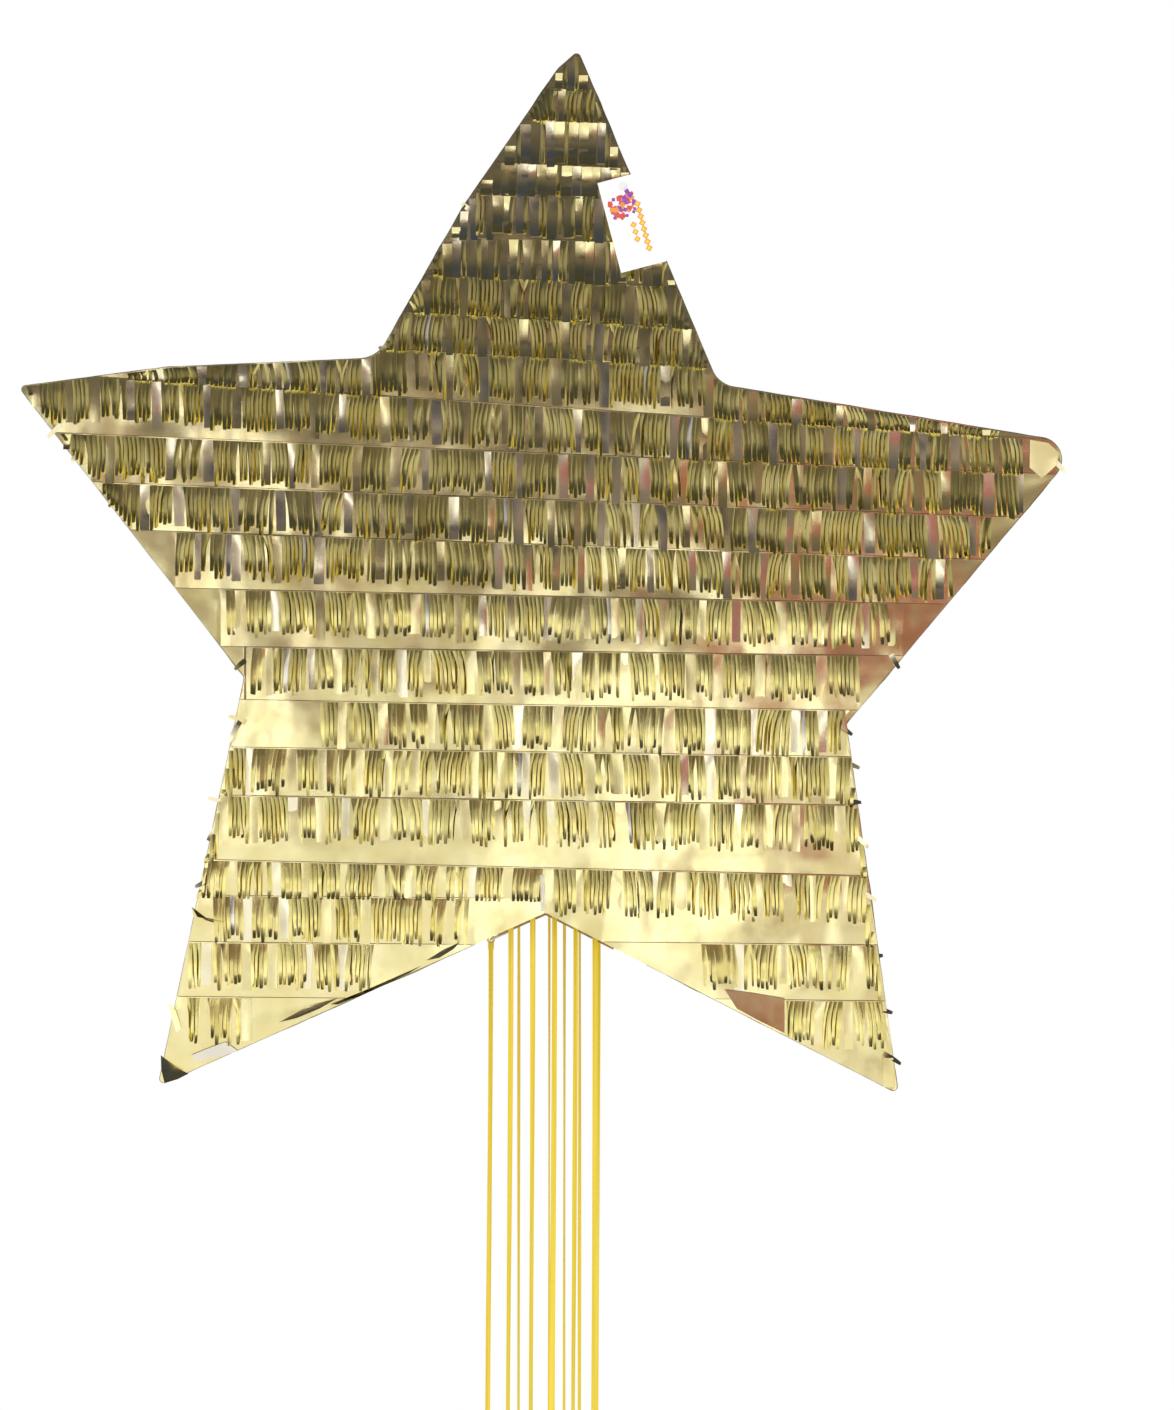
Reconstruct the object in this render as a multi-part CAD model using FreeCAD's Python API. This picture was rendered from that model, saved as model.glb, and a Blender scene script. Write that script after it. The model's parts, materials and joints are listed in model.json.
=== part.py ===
import FreeCAD, Part
import math
import os

from FreeCAD import Vector

# A star-shaped pull-string pinata, 20 inches tall, in millimetres.
# Seen from the front, +X is to the right, +Y goes into the star and +Z is up.
# Every shape is drawn about the star's middle plane (y = 0) and moved by save(), which puts
# the row's origin at the point where a hook bears inside the hanging ring.

# --- the card star -------------------------------------------------------------------------
DEPTH = 100.0  # over the two card panels
CARD = 3.0  # corrugated card
HALF = DEPTH / 2
WRAP = 0.5  # foil glued over the side walls
FRINGE = 1.5  # a glued strip of cut foil, as one flat layer

# Corners of the outer outline, clockwise from the top tip: x, z and the corner's radius.
STAR = [
    (0.0, 17.0, 2.0),
    (69.0, -147.0, 14.0),
    (247.7, -176.4, 11.0),
    (132.0, -314.0, 2.0),
    (157.5, -496.0, 2.0),
    (-16.0, -407.0, 1.0),
    (-206.5, -492.0, 2.0),
    (-164.0, -291.0, 3.0),
    (-275.5, -148.0, 2.0),
    (-201.0, -138.5, 40.0),
    (-99.0, -134.0, 15.0),
    (-56.5, -59.5, 40.0),
    (-9.5, 8.5, 2.0),
]
TIPS = {"wall_top": 0, "wall_right": 2, "wall_low_right": 4, "wall_low_left": 6, "wall_left": 8}
INNER = {0: (10, 1), 2: (1, 3), 4: (3, 5), 6: (5, 7), 8: (7, 10)}  # inner corners beside a tip
CENTRE = (-10.0, -250.0)
CROTCH = 5

# --- the foil rows on the front ------------------------------------------------------------
# Height of each strip's top edge at x = 0, and how far it slopes down to the right in degrees.
ROWS = [
    (40.0, 0.0),
    (-1.3, 1.5),
    (-17.5, 2.0),
    (-39.1, 2.5),
    (-53.9, 2.0),
    (-76.0, 1.5),
    (-96.2, 3.0),
    (-115.9, 3.5),
    (-134.6, 3.3),
    (-158.7, 3.8),
    (-181.3, 2.4),
    (-204.0, 2.2),
    (-226.1, 2.0),
    (-251.2, 1.2),
    (-278.2, 0.8),
    (-304.8, 1.0),
    (-327.9, 0.9),
    (-351.6, 0.9),
    (-385.0, 1.4),
]
LEFT_LEG_ROWS = [(-400.0, 0.6), (-423.0, 0.6), (-450.0, 0.6)]
RIGHT_LEG_ROWS = [(-421.0, 0.6), (-448.5, 0.6)]
FLOOR = (-540.0, 0.0)
ROW_GAP = 0.3

# --- hanging ring behind the top tip -------------------------------------------------------
RING_Y = 52.3  # plane of the ring, behind the middle plane
RING_WIRE = 1.25
RING_BOW = 6.75  # radius of the bow, at the middle of the wire
RING_BOW_Z = -(RING_BOW - RING_WIRE)  # the wire's inner top is then at z = 0
RING_BAR_Z = -11.0
RING_CLEARANCE = 0.1
STRAP_THICK = 0.85
STRAP_HALF = 4.5
STRAP_PLATE = (8.0, -38.0, -17.0)  # half width, bottom, top
STRAP_ROOM = 1.0  # bare card round the strap's plate
RIVET_R = 1.5
RIVET_HEAD = (3.0, 1.0)  # radius, thickness
RIVET_WASHER = (3.9, 1.0)
RIVET_Z = (-24.0, -33.0)

# --- fill opening and its door in the back -------------------------------------------------
FILL_HALF = 45.0
FILL_TOP = -200.0
FILL_BOTTOM = -270.0
DOOR_HALF = 52.0
DOOR_TOP = -195.0  # the fold line it swings on
DOOR_BOTTOM = -278.0
DOOR_CARD = 1.5
DOOR_GAP = 0.3
DOOR_TAB = (10.0, -288.0)
DOOR_ROOM = (55.0, -291.0, -182.0)  # bare card around the door: half width, bottom, top
COVER_DROP = 4.0  # bare card on the door below its fold
TAPE_OFF = 2.5  # from a door's fold to its hinge tape
TAPE_SHY = 1.0  # from the fill door's tape to the foil above it
TRAP_TAPE = 10.0  # width of the trap door's tape

# --- trap door under the bottom notch ------------------------------------------------------
TRAP_OPEN = (-36.0, 14.0, 28.0)  # left, right, half depth
TRAP_LEFT = -40.0
TRAP_RIGHT = 18.0  # the fold line it swings on
TRAP_HALF = 32.0
TRAP_CARD = 1.5
LOW_WALLS = (-450.0, -380.0)  # heights that the openings through the lower walls are cut between
LOOP_WIRE = 0.6
LOOP_HALF = 4.0
LOOP_LONG = 11.0
LOOP_SHY = 0.5  # of card left above the prongs
LOOP_DROP = 2.7  # from the wall's foil to the middle of the wire
EYE_R = 1.6
EYE_WIRE = 0.5
EYE_ROOM = 2.0  # half depth of the eye's free middle
KNOT_DROP = 5.0

# --- pull ribbons --------------------------------------------------------------------------
RIBBON_R = 1.5  # a 3 mm ribbon, in the round space that it turns in
RIBBON_HOLE = 2.0
RIBBON_Y = 38.0  # the fixed ribbons come out in front of and behind the trap door
RIBBON_INSIDE = 12.0
# x at the top, at the middle and at the end, the height of the end, and the side (front -1,
# back +1; the first hangs from the trap door, in the middle)
RIBBONS = [
    (-43.8, -45.4, -46.6, -868.0, 0),
    (-33.2, -34.7, -35.7, -872.0, -1),
    (-30.3, -30.5, -30.8, -861.0, 1),
    (-22.4, -23.4, -24.2, -870.0, -1),
    (-14.8, -15.0, -15.4, -858.0, 1),
    (-11.6, -13.0, -13.8, -874.0, -1),
    (-7.1, -7.3, -7.6, -863.0, 1),
    (-1.2, -2.5, -3.3, -869.0, -1),
    (0.7, 0.5, 0.3, -860.0, 1),
    (8.4, 7.6, 7.0, -873.0, -1),
    (10.3, 8.9, 8.2, -865.0, 1),
]
RIBBON_MIDDLE_Z = -650.0

# --- hang tag ------------------------------------------------------------------------------
TAG_CENTRE = (26.5, -67.9)
TAG_SIZE = (23.1, 45.5, 0.6)
TAG_TILT = 14.8
TAG_BACK = -56.9
TAG_HOLE_UP = 18.5  # from the tag's middle to its hole
TAG_HOLE_R = 1.0
PIN_R = 0.5
PIN_HEAD = (1.8, 0.6)
PIN_BAR = (0.8, 8.0)


def inset(distance):
    """The star's corners moved inwards by a distance, with their radii."""
    count = len(STAR)
    lines = []
    for i in range(count):
        x0, z0, _ = STAR[i]
        x1, z1, _ = STAR[(i + 1) % count]
        length = math.hypot(x1 - x0, z1 - z0)
        # the outline runs clockwise, so its inside is on the right of each edge
        nx, nz = (z1 - z0) / length, -(x1 - x0) / length
        lines.append((x0 + nx * distance, z0 + nz * distance, x1 - x0, z1 - z0))
    moved = []
    for i in range(count):
        ax, az, adx, adz = lines[i - 1]
        bx, bz, bdx, bdz = lines[i]
        cross = adx * bdz - adz * bdx
        t = ((bx - ax) * bdz - (bz - az) * bdx) / cross
        convex = cross < 0
        radius = STAR[i][2] - distance if convex else STAR[i][2] + distance
        moved.append((ax + adx * t, az + adz * t, max(radius, 0.0)))
    return moved


def outline(distance):
    """A closed wire of the star, inset by a distance, with rounded corners."""
    corners = inset(distance)
    count = len(corners)
    ends = []
    edges = []
    for i in range(count):
        x, z, radius = corners[i]
        before = Vector(corners[i - 1][0] - x, 0, corners[i - 1][1] - z).normalize()
        after = Vector(corners[(i + 1) % count][0] - x, 0, corners[(i + 1) % count][1] - z).normalize()
        corner = Vector(x, 0, z)
        if radius < 0.05:
            ends.append((corner, corner))
            continue
        half = before.getAngle(after) / 2
        reach = radius / math.tan(half)
        start = corner + before * reach
        finish = corner + after * reach
        bisector = (before + after).normalize()
        middle = corner + bisector * (radius / math.sin(half) - radius)
        edges.append(Part.Arc(start, middle, finish).toShape())
        ends.append((start, finish))
    for i in range(count):
        edges.append(Part.makeLine(ends[i][1], ends[(i + 1) % count][0]))
    return Part.Wire(Part.__sortEdges__(edges))


def slab(distance, near, far):
    """The star's outline as a plate between two depths."""
    face = Part.Face(outline(distance))
    face.translate(Vector(0, near, 0))
    return face.extrude(Vector(0, far - near, 0))


def prism(points, near, far):
    """A polygon of (x, z) points as a plate between two depths."""
    wire = Part.makePolygon([Vector(x, near, z) for x, z in points + points[:1]])
    return Part.Face(wire).extrude(Vector(0, far - near, 0))


def block(x0, x1, y0, y1, z0, z1):
    return Part.makeBox(x1 - x0, y1 - y0, z1 - z0, Vector(x0, y0, z0))


def rod(start, end, radius):
    run = end - start
    return Part.makeCylinder(radius, run.Length, start, run)


def join(shapes):
    return shapes[0].multiFuse(shapes[1:]).removeSplitter()


def save(name, shape):
    placed = shape.copy()
    placed.translate(Vector(0, -RING_Y, 0))
    placed.exportStep(f"parts/{name}.step")
    print(name, len(placed.Solids), round(placed.Volume), placed.isValid())


def sector(tip):
    """The wedge of the star that holds one tip, cut through the inner corners beside it."""
    reach = 3.0
    points = [CENTRE]
    for index in (INNER[tip][0], tip, INNER[tip][1]):
        x, z, _ = STAR[index]
        points.append((CENTRE[0] + reach * (x - CENTRE[0]), CENTRE[1] + reach * (z - CENTRE[1])))
    return prism(points, -2 * HALF, 2 * HALF)


def on_edge(first, distance, x):
    """The point at x on the edge that starts at a corner, moved outwards by a distance."""
    corners = inset(-distance)
    x0, z0, _ = corners[first]
    x1, z1, _ = corners[(first + 1) % len(corners)]
    return Vector(x, 0, z0 + (z1 - z0) * (x - x0) / (x1 - x0))


def edge_run(first):
    x0, z0, _ = STAR[first]
    x1, z1, _ = STAR[(first + 1) % len(STAR)]
    return Vector(x1 - x0, 0, z1 - z0).normalize()


def ribbon_holes():
    """Holes down through the lower walls for the ten ribbons that only pull out."""
    holes = []
    for x, _, _, _, side in RIBBONS[1:]:
        low, high = [Vector(x, side * RIBBON_Y, z) for z in LOW_WALLS]
        holes.append(rod(low, high, RIBBON_HOLE))
    return holes


def wall_height(x):
    """Height of the wall foil's underside at x."""
    first = CROTCH - 1 if x > STAR[CROTCH][0] else CROTCH
    return on_edge(first, 0, x).z


TRAP_WINDOW = block(TRAP_OPEN[0], TRAP_OPEN[1], -TRAP_OPEN[2], TRAP_OPEN[2], *LOW_WALLS)
HOLES = ribbon_holes()


# --- hang tag and the pin that it swings on -------------------------------------------------
def tag_hole():
    tilt = math.radians(TAG_TILT)
    x = TAG_CENTRE[0] - TAG_HOLE_UP * math.sin(tilt)
    z = TAG_CENTRE[1] + TAG_HOLE_UP * math.cos(tilt)
    return x, z


def hang_tag():
    width, height, thick = TAG_SIZE
    card = Part.makeBox(width, thick, height, Vector(-width / 2, TAG_BACK - thick, -height / 2))
    card.rotate(Vector(0, 0, 0), Vector(0, -1, 0), TAG_TILT)
    card.translate(Vector(TAG_CENTRE[0], 0, TAG_CENTRE[1]))
    x, z = tag_hole()
    return card.cut(rod(Vector(x, -DEPTH, z), Vector(x, 0, z), TAG_HOLE_R))


def tag_pin():
    x, z = tag_hole()
    head_r, head_thick = PIN_HEAD
    bar_r, bar_long = PIN_BAR
    head_y = TAG_BACK - TAG_SIZE[2] - DOOR_GAP
    bar_y = -HALF + CARD + bar_r
    head = rod(Vector(x, head_y - head_thick, z), Vector(x, head_y, z), head_r)
    shank = rod(Vector(x, head_y, z), Vector(x, bar_y, z), PIN_R)
    bar = rod(Vector(x, bar_y, z - bar_long / 2), Vector(x, bar_y, z + bar_long / 2), bar_r)
    return join([head, shank, bar])


def tag_bore():
    x, z = tag_hole()
    return rod(Vector(x, -HALF - 2 * FRINGE, z), Vector(x, -HALF + CARD, z), PIN_R)


# --- card star -----------------------------------------------------------------------------
def front_panel():
    return slab(WRAP, -HALF, -HALF + CARD).cut(tag_bore())


def back_panel():
    panel = slab(WRAP, HALF - CARD, HALF)
    panel = panel.cut(block(-FILL_HALF, FILL_HALF, 0, DEPTH, FILL_BOTTOM, FILL_TOP))
    for z in RIVET_Z:
        panel = panel.cut(rod(Vector(0, 0, z), Vector(0, DEPTH, z), RIVET_R))
    return panel


def walls():
    ring = slab(WRAP, -HALF + CARD, HALF - CARD).cut(slab(WRAP + CARD, -HALF, HALF))
    ring = ring.cut([TRAP_WINDOW] + HOLES)
    return {name: ring.common(sector(tip)) for name, tip in TIPS.items()}


def wraps():
    ring = slab(0, -HALF, HALF).cut(slab(WRAP, -DEPTH, DEPTH))
    ring = ring.cut([TRAP_WINDOW] + HOLES)
    top = (STAR[0][0], STAR[0][1] + DEPTH)
    foot = (STAR[CROTCH][0], STAR[CROTCH][1] - DEPTH)
    wide = 4 * DEPTH
    left = prism([top, foot, (-wide, foot[1]), (-wide, top[1])], -DEPTH, DEPTH)
    return ring.common(left), ring.cut(left)


# --- foil rows -----------------------------------------------------------------------------
def row_height(row, x):
    return row[0] - x * math.tan(math.radians(row[1]))


def row_band(upper, lower, x0, x1):
    """The strip between two sloping edges, from x0 to x1."""
    return [
        (x0, row_height(upper, x0) - ROW_GAP),
        (x1, row_height(upper, x1) - ROW_GAP),
        (x1, row_height(lower, x1)),
        (x0, row_height(lower, x0)),
    ]


def front_rows():
    star = slab(0, -HALF - FRINGE, -HALF).cut(tag_bore())
    wide = 3 * DEPTH
    notch = STAR[CROTCH][0]
    bands = []
    for upper, lower in zip(ROWS, ROWS[1:]):
        bands.append([row_band(upper, lower, -wide, wide)])
    last = ROWS[-1]
    bands.append([
        row_band(last, LEFT_LEG_ROWS[0], -wide, notch),
        row_band(last, RIGHT_LEG_ROWS[0], notch, wide),
    ])
    for upper, lower in zip(LEFT_LEG_ROWS, LEFT_LEG_ROWS[1:] + [FLOOR]):
        bands.append([row_band(upper, lower, -wide, notch)])
    for upper, lower in zip(RIGHT_LEG_ROWS, RIGHT_LEG_ROWS[1:] + [FLOOR]):
        bands.append([row_band(upper, lower, notch, wide)])
    rows = []
    for strips in bands:
        cutters = [prism(points, -DEPTH, 0) for points in strips]
        pieces = [star.common(cutter) for cutter in cutters]
        rows.append(join(pieces) if len(pieces) > 1 else pieces[0])
    return rows


def back_rows():
    """The back's rows above and below the fill door's hinge, as two layers."""
    star = slab(0, HALF, HALF + FRINGE)
    half, bottom, top = DOOR_ROOM
    plate = STRAP_PLATE
    upper = star.common(block(-3 * DEPTH, 3 * DEPTH, 0, DEPTH, top, DEPTH))
    clear = plate[0] + STRAP_ROOM
    upper = upper.cut(block(-clear, clear, 0, DEPTH, plate[1] - STRAP_ROOM, DEPTH))
    lower = star.common(block(-3 * DEPTH, 3 * DEPTH, 0, DEPTH, -6 * DEPTH, top - ROW_GAP))
    lower = lower.cut(block(-half, half, 0, DEPTH, bottom, top))
    return upper, lower


# --- hanging ring --------------------------------------------------------------------------
def hang_ring():
    left = Vector(-RING_BOW, RING_Y, RING_BAR_Z)
    right = Vector(RING_BOW, RING_Y, RING_BAR_Z)
    rise = Vector(0, 0, RING_BOW_Z - RING_BAR_Z)
    circle = Part.makeCircle(RING_WIRE, right + rise, Vector(0, 0, 1))
    bow = Part.Face(Part.Wire(circle)).revolve(Vector(0, RING_Y, RING_BOW_Z), Vector(0, 1, 0), -180)
    corners = [Part.makeSphere(RING_WIRE, left), Part.makeSphere(RING_WIRE, right)]
    sides = [rod(left, left + rise, RING_WIRE), rod(right, right + rise, RING_WIRE)]
    return join([bow, rod(left, right, RING_WIRE)] + corners + sides)


def hang_strap():
    bore = RING_WIRE + RING_CLEARANCE
    start = Vector(-STRAP_HALF, RING_Y, RING_BAR_Z)
    end = Vector(STRAP_HALF, RING_Y, RING_BAR_Z)
    half, bottom, top = STRAP_PLATE
    curl = rod(start, end, bore + STRAP_THICK)
    neck = block(-STRAP_HALF, STRAP_HALF, HALF, HALF + STRAP_THICK, top, RING_BAR_Z)
    plate = block(-half, half, HALF, HALF + STRAP_THICK, bottom, top)
    strap = join([curl, neck, plate]).cut(rod(start, end, bore))
    for z in RIVET_Z:
        strap = strap.cut(rod(Vector(0, 0, z), Vector(0, DEPTH, z), RIVET_R))
    return strap


def hang_rivets():
    rivets = []
    outer = HALF + STRAP_THICK
    inner = HALF - CARD
    head_r, head_thick = RIVET_HEAD
    washer_r, washer_thick = RIVET_WASHER
    for z in RIVET_Z:
        head = rod(Vector(0, outer, z), Vector(0, outer + head_thick, z), head_r)
        shank = rod(Vector(0, inner - washer_thick, z), Vector(0, outer, z), RIVET_R)
        washer = rod(Vector(0, inner - washer_thick, z), Vector(0, inner, z), washer_r)
        rivets.append(join([head, shank, washer]))
    return Part.makeCompound(rivets)


# --- fill door -----------------------------------------------------------------------------
def fill_door():
    near = HALF + DOOR_GAP
    plate = block(-DOOR_HALF, DOOR_HALF, near, near + DOOR_CARD, DOOR_BOTTOM, DOOR_TOP)
    tab = block(-DOOR_TAB[0], DOOR_TAB[0], near, near + DOOR_CARD, DOOR_TAB[1], DOOR_BOTTOM)
    return join([plate, tab])


def fill_cover():
    near = HALF + DOOR_GAP + DOOR_CARD
    return block(-DOOR_HALF, DOOR_HALF, near, near + FRINGE, DOOR_BOTTOM, DOOR_TOP - COVER_DROP)


def fill_tape():
    top = DOOR_ROOM[2] - TAPE_SHY
    return block(-DOOR_HALF, DOOR_HALF, HALF, HALF + DOOR_GAP, DOOR_TOP + TAPE_OFF, top)


# --- trap door, its wire loop and the release ribbon's eye ---------------------------------
def trap_door():
    right = CROTCH - 1
    left = CROTCH
    inner = inset(-DOOR_GAP)[CROTCH]
    outer = inset(-DOOR_GAP - TRAP_CARD)[CROTCH]
    fold = on_edge(right, DOOR_GAP, TRAP_RIGHT)
    free = on_edge(left, DOOR_GAP, TRAP_LEFT)
    points = [(inner[0], inner[1]), (fold.x, fold.z)]
    for run, corner in ((edge_run(right), fold), (edge_run(left), free)):
        down = Vector(-run.z, 0, run.x) * TRAP_CARD
        if down.z > 0:
            down = down * -1
        points.append((corner.x + down.x, corner.z + down.z))
        if corner is fold:
            points.append((outer[0], outer[1]))
    points.append((free.x, free.z))
    door = prism(points, -TRAP_HALF, TRAP_HALF)
    return door.cut(pull_loop())


def trap_tape():
    right = CROTCH - 1
    start = TRAP_RIGHT + TAPE_OFF
    end = start + TRAP_TAPE
    points = [on_edge(right, 0, start), on_edge(right, 0, end)]
    points += [on_edge(right, DOOR_GAP, end), on_edge(right, DOOR_GAP, start)]
    return prism([(p.x, p.z) for p in points], -TRAP_HALF, TRAP_HALF)


def loop_bar():
    return on_edge(CROTCH, LOOP_DROP, RIBBONS[0][0])


def pull_loop():
    """A wire staple: its bar sticks out past the door's free edge, its prongs are in the card."""
    bar = loop_bar()
    run = edge_run(CROTCH)
    back = bar - run * LOOP_LONG
    up = Vector(run.z, 0, -run.x)
    if up.z < 0:
        up = up * -1
    side = Vector(0, LOOP_HALF, 0)
    pieces = [rod(bar - side, bar + side, LOOP_WIRE)]
    for leg in (side, side * -1):
        pieces.append(Part.makeSphere(LOOP_WIRE, bar + leg))
        pieces.append(rod(bar + leg, back + leg, LOOP_WIRE))
        pieces.append(Part.makeSphere(LOOP_WIRE, back + leg))
        pieces.append(rod(back + leg, back + leg + up * (LOOP_DROP - DOOR_GAP - LOOP_SHY), LOOP_WIRE))
    return join(pieces)


def release_eye():
    bar = loop_bar()
    eye = Part.makeTorus(EYE_R, EYE_WIRE, bar, Vector(0, 1, 0))
    top = bar - Vector(0, 0, EYE_R)
    knot = rod(top, bar - Vector(0, 0, KNOT_DROP), RIBBON_R)
    half = Vector(0, EYE_ROOM, 0)
    room = rod(bar - half, bar + half, EYE_R - EYE_WIRE)
    return join([eye, knot]).cut(room)


# --- ribbons -------------------------------------------------------------------------------
def ribbon_route(index):
    """Points down a ribbon: straight out of its exit, then a slight drift to one side."""
    x_top, x_middle, x_end, z_end, side = RIBBONS[index]
    y = side * RIBBON_Y
    if index == 0:
        bar = loop_bar()
        z_top = bar.z - KNOT_DROP
    else:
        z_top = wall_height(x_top) + RIBBON_INSIDE
    drift = x_middle - x_top
    return [
        Vector(x_top, y, z_top),
        Vector(x_top, y, -450.0),
        Vector(x_top + 0.2 * drift, y, -500.0),
        Vector(x_top + 0.5 * drift, y, -560.0),
        Vector(x_top + 0.8 * drift, y, -610.0),
        Vector(x_middle, y, RIBBON_MIDDLE_Z),
        Vector(x_middle + 0.3 * (x_end - x_middle), y, -710.0),
        Vector(x_middle + 0.6 * (x_end - x_middle), y, -770.0),
        Vector(x_middle + 0.8 * (x_end - x_middle), y, -820.0),
        Vector(x_end, y, z_end),
    ]


def ribbon(index):
    route = ribbon_route(index)
    start = Part.Wire(Part.makeCircle(RIBBON_R, route[0], route[1] - route[0]))
    mitred = 1
    return Part.makePolygon(route).makePipeShell([start], True, False, mitred)


os.makedirs("parts", exist_ok=True)
save("front_panel", front_panel())
save("back_panel", back_panel())
for name, wall in walls().items():
    save(name, wall)
left_wrap, right_wrap = wraps()
save("wrap_left", left_wrap)
save("wrap_right", right_wrap)
for number, row in enumerate(front_rows(), 1):
    save(f"fringe_{number:02d}", row)
upper_back, lower_back = back_rows()
save("back_fringe_upper", upper_back)
save("back_fringe_lower", lower_back)
save("hang_ring", hang_ring())
save("hang_strap", hang_strap())
save("hang_rivets", hang_rivets())
save("fill_door", fill_door())
save("fill_cover", fill_cover())
save("fill_tape", fill_tape())
save("trap_door", trap_door())
save("trap_tape", trap_tape())
save("pull_loop", pull_loop())
save("release_eye", release_eye())
save("hang_tag", hang_tag())
save("tag_pin", tag_pin())
for index in range(len(RIBBONS)):
    save(f"ribbon_{index + 1:02d}", ribbon(index))
    points = ribbon_route(index)
    length = sum((b - a).Length for a, b in zip(points, points[1:]))
    print("  radius", RIBBON_R, "length", round(length, 1), "top", round(points[0].z, 2))
fold = on_edge(CROTCH - 1, DOOR_GAP, TRAP_RIGHT)
print("trap fold line", round(fold.x, 3), round(fold.z, 3))
print("release loop bar", [round(v, 3) for v in loop_bar()])
print("tag hole", [round(v, 3) for v in tag_hole()])
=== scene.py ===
import json
import math
import random
from collections import namedtuple

import bpy
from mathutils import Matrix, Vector, noise


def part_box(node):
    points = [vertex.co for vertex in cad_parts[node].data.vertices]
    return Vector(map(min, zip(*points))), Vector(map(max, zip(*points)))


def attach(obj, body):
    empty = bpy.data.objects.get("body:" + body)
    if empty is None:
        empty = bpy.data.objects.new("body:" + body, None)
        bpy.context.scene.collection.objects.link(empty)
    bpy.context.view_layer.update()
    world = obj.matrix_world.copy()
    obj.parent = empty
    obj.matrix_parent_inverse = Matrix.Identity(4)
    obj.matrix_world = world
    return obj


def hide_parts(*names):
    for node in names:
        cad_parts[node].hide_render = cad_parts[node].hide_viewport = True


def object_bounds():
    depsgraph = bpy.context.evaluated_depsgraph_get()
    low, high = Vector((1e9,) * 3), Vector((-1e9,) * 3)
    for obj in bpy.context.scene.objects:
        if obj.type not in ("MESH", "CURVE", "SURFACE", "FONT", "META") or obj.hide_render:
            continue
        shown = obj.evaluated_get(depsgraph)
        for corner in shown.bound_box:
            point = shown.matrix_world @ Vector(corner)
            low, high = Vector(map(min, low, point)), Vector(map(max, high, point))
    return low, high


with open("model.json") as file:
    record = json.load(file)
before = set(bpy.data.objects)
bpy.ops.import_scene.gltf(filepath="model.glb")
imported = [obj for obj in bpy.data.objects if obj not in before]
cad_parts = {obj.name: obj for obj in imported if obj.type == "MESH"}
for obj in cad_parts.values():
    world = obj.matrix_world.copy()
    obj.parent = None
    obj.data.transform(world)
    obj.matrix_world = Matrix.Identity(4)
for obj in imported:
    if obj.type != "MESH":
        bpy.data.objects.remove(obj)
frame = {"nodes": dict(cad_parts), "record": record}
cad_low, cad_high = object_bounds()

MM = 0.001
NODES = frame["nodes"]

# --- depths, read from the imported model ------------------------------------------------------
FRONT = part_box("front_panel")[0].y  # the front card's outer face
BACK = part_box("back_panel")[1].y
MIDDLE = (FRONT + BACK) / 2

FRONT_ROWS = sorted(name for name in NODES if name.startswith("fringe_"))
RIBBON_NAMES = sorted(name for name in NODES if name.startswith("ribbon_"))

# --- reading shapes --------------------------------------------------------------------------
FLAT_ON = 0.9  # a face is on a plate's flat side if its normal reaches this far towards it
TINY = 1e-6  # just inside a column's edge, and too short for a length
TOUCHING = 1e-5
SHORTEST_STRETCH = 0.05 * MM
CLOSEST_COLUMNS = 0.2 * MM

# --- the foil strips -------------------------------------------------------------------------
COLUMN = 2.5 * MM  # spacing of the plain foil's mesh across a strip
STRIP_STEPS = 8  # and down it
OPEN_FROM, OPEN_TO = 1, 5  # the steps where the fingers have left the card bare behind them
FULL_STRIP = 15 * MM  # a shorter stretch keeps its foil behind the fingers
FOOT_PROUD = 0.5 * MM  # how far a strip's foot stands off the card
TOP_PROUD = 1.0 * MM  # and how much further its top does
STRIP_SLOPE = 24  # how steep it is between the two: its rise over its step out
LEAST_PROUD = 0.15 * MM
BACK_PITCH = 24.0 * MM
DOOR_STRIPS = 3

# --- the cut fingers -------------------------------------------------------------------------
FINGER_STEPS = 8
FINGER_LENGTH = 21.5 * MM
SHORTEST_FINGER = 4 * MM
FINGER_ROOT = 2.0 * MM  # how proud of the card a finger starts
ROOT_DROP = 0.5 * MM  # how far under its strip's top edge
FOOT_CLEAR = 1.0 * MM  # from its tip to the star's outline
OVERHANG = 1.5 * MM  # how far it may reach past its strip's foot
NARROW = 1.95 * MM
WIDE = 4.4 * MM
SLIT = 0.12 * MM
FIRST_GAP = 0.6 * MM  # from a strip's ends to the first cut and to the last
LAST_GAP = 1.4 * MM
NARROW_SPREAD = (0.88, 1.12)  # widths and lengths, as shares of the usual one
WIDE_SPREAD = (0.75, 1.25)
LENGTH_SPREAD = (0.88, 1.10)
FIRST_RUN = (2, 8)  # how many fingers come before a wide one
LATER_RUNS = (5, 9)
LONG_RUN_SHARE = 0.15
LONG_RUN_MORE = 5
RUN_LEANS = (-1.8, 1.8)  # mm of lean that a run of fingers shares
RUN_TURNS = (0.15, 0.6)  # and radians of turn, either way
NARROW_STANDS = (0.1, 1.2)  # mm that a narrow finger leans out
NARROW_BOWS = (-0.1, 0.3)
NARROW_CUPS = (0.0, 0.25)  # shares of its half width
WIDE_TURNS = (-0.07, 0.07)
WIDE_SWAYS = (-0.8, 0.8)
WIDE_CUP = 0.02
UNRULY_SHARE = 0.12  # narrow fingers that turn and sway on their own
UNRULY_TURNS = (-1.3, 1.3)
UNRULY_SWAYS = (-2.5, 2.5)
TURNED_BY = 0.4  # share of its length within which a finger has turned
BENDS = (0.6, 0.76)  # share of its length where its tip starts to curl
LATER_BEND = 0.14  # and how much later if it dips in first
DIP_FROM, DIP_OVER = 0.48, 0.38
TORN_SHARE = 0.006  # fingers that are missing
SILVER_SHARE = 0.006  # narrow fingers that show silver

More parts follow.
